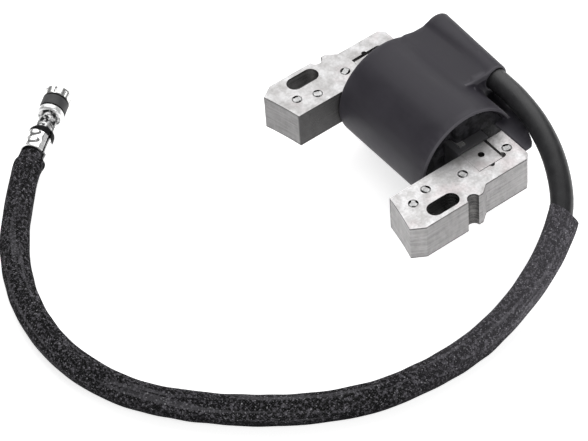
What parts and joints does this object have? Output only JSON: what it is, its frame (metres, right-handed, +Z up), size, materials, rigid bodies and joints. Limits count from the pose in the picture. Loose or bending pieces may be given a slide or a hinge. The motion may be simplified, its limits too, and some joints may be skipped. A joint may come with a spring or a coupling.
{
  "type": "ignition coil",
  "caption": "Flywheel magneto ignition coil: laminated two-leg steel core with slotted holes, round potted winding case, and a sleeved high-tension lead with a push-on plug terminal.",
  "frame": {"origin": "midway between the centres of the two mounting slots, on the lower (mounting) face of the laminated core", "axes": "+Z up through the lamination stack, the way the screws go out; +Y away from the flywheel, towards the winding; +X across the core, towards the leg that the high-tension lead passes"},
  "size_m": [0.1718, 0.1631, 0.0349],
  "materials": {
    "lamination": "satin",
    "rivet": "satin",
    "case_plastic": "matte",
    "resin": "satin",
    "bobbin_nylon": "matte",
    "copper_wire": "satin",
    "film": "gloss",
    "board": "satin",
    "chip": "matte",
    "brass_contact": "satin",
    "tinned": "satin",
    "jacket": "satin",
    "braid": "matte",
    "plated": "gloss",
    "spring": "satin"
  },
  "bodies": {
    "root": {"core_leg_front": "lamination", "core_leg_rear": "lamination", "core_bar": "lamination", "core_rivets": "rivet", "coil_case": "case_plastic", "potting_resin": "resin", "primary_bobbin": "bobbin_nylon", "primary_winding": "copper_wire", "winding_insulation": "film", "secondary_bobbin": "bobbin_nylon", "secondary_winding": "copper_wire", "secondary_tap": "copper_wire", "tower_contact": "brass_contact", "circuit_board": "board", "switching_transistor": "chip", "trigger_coil": "copper_wire", "board_resistors": "chip", "primary_leads": "copper_wire", "ground_strap": "brass_contact", "stop_terminal": "tinned", "lead_conductor": "copper_wire", "lead_jacket": "jacket", "lead_sleeve": "braid", "crimp_barrel": "plated", "terminal_socket": "plated", "socket_clip": "spring"}
  },
  "joints": []
}
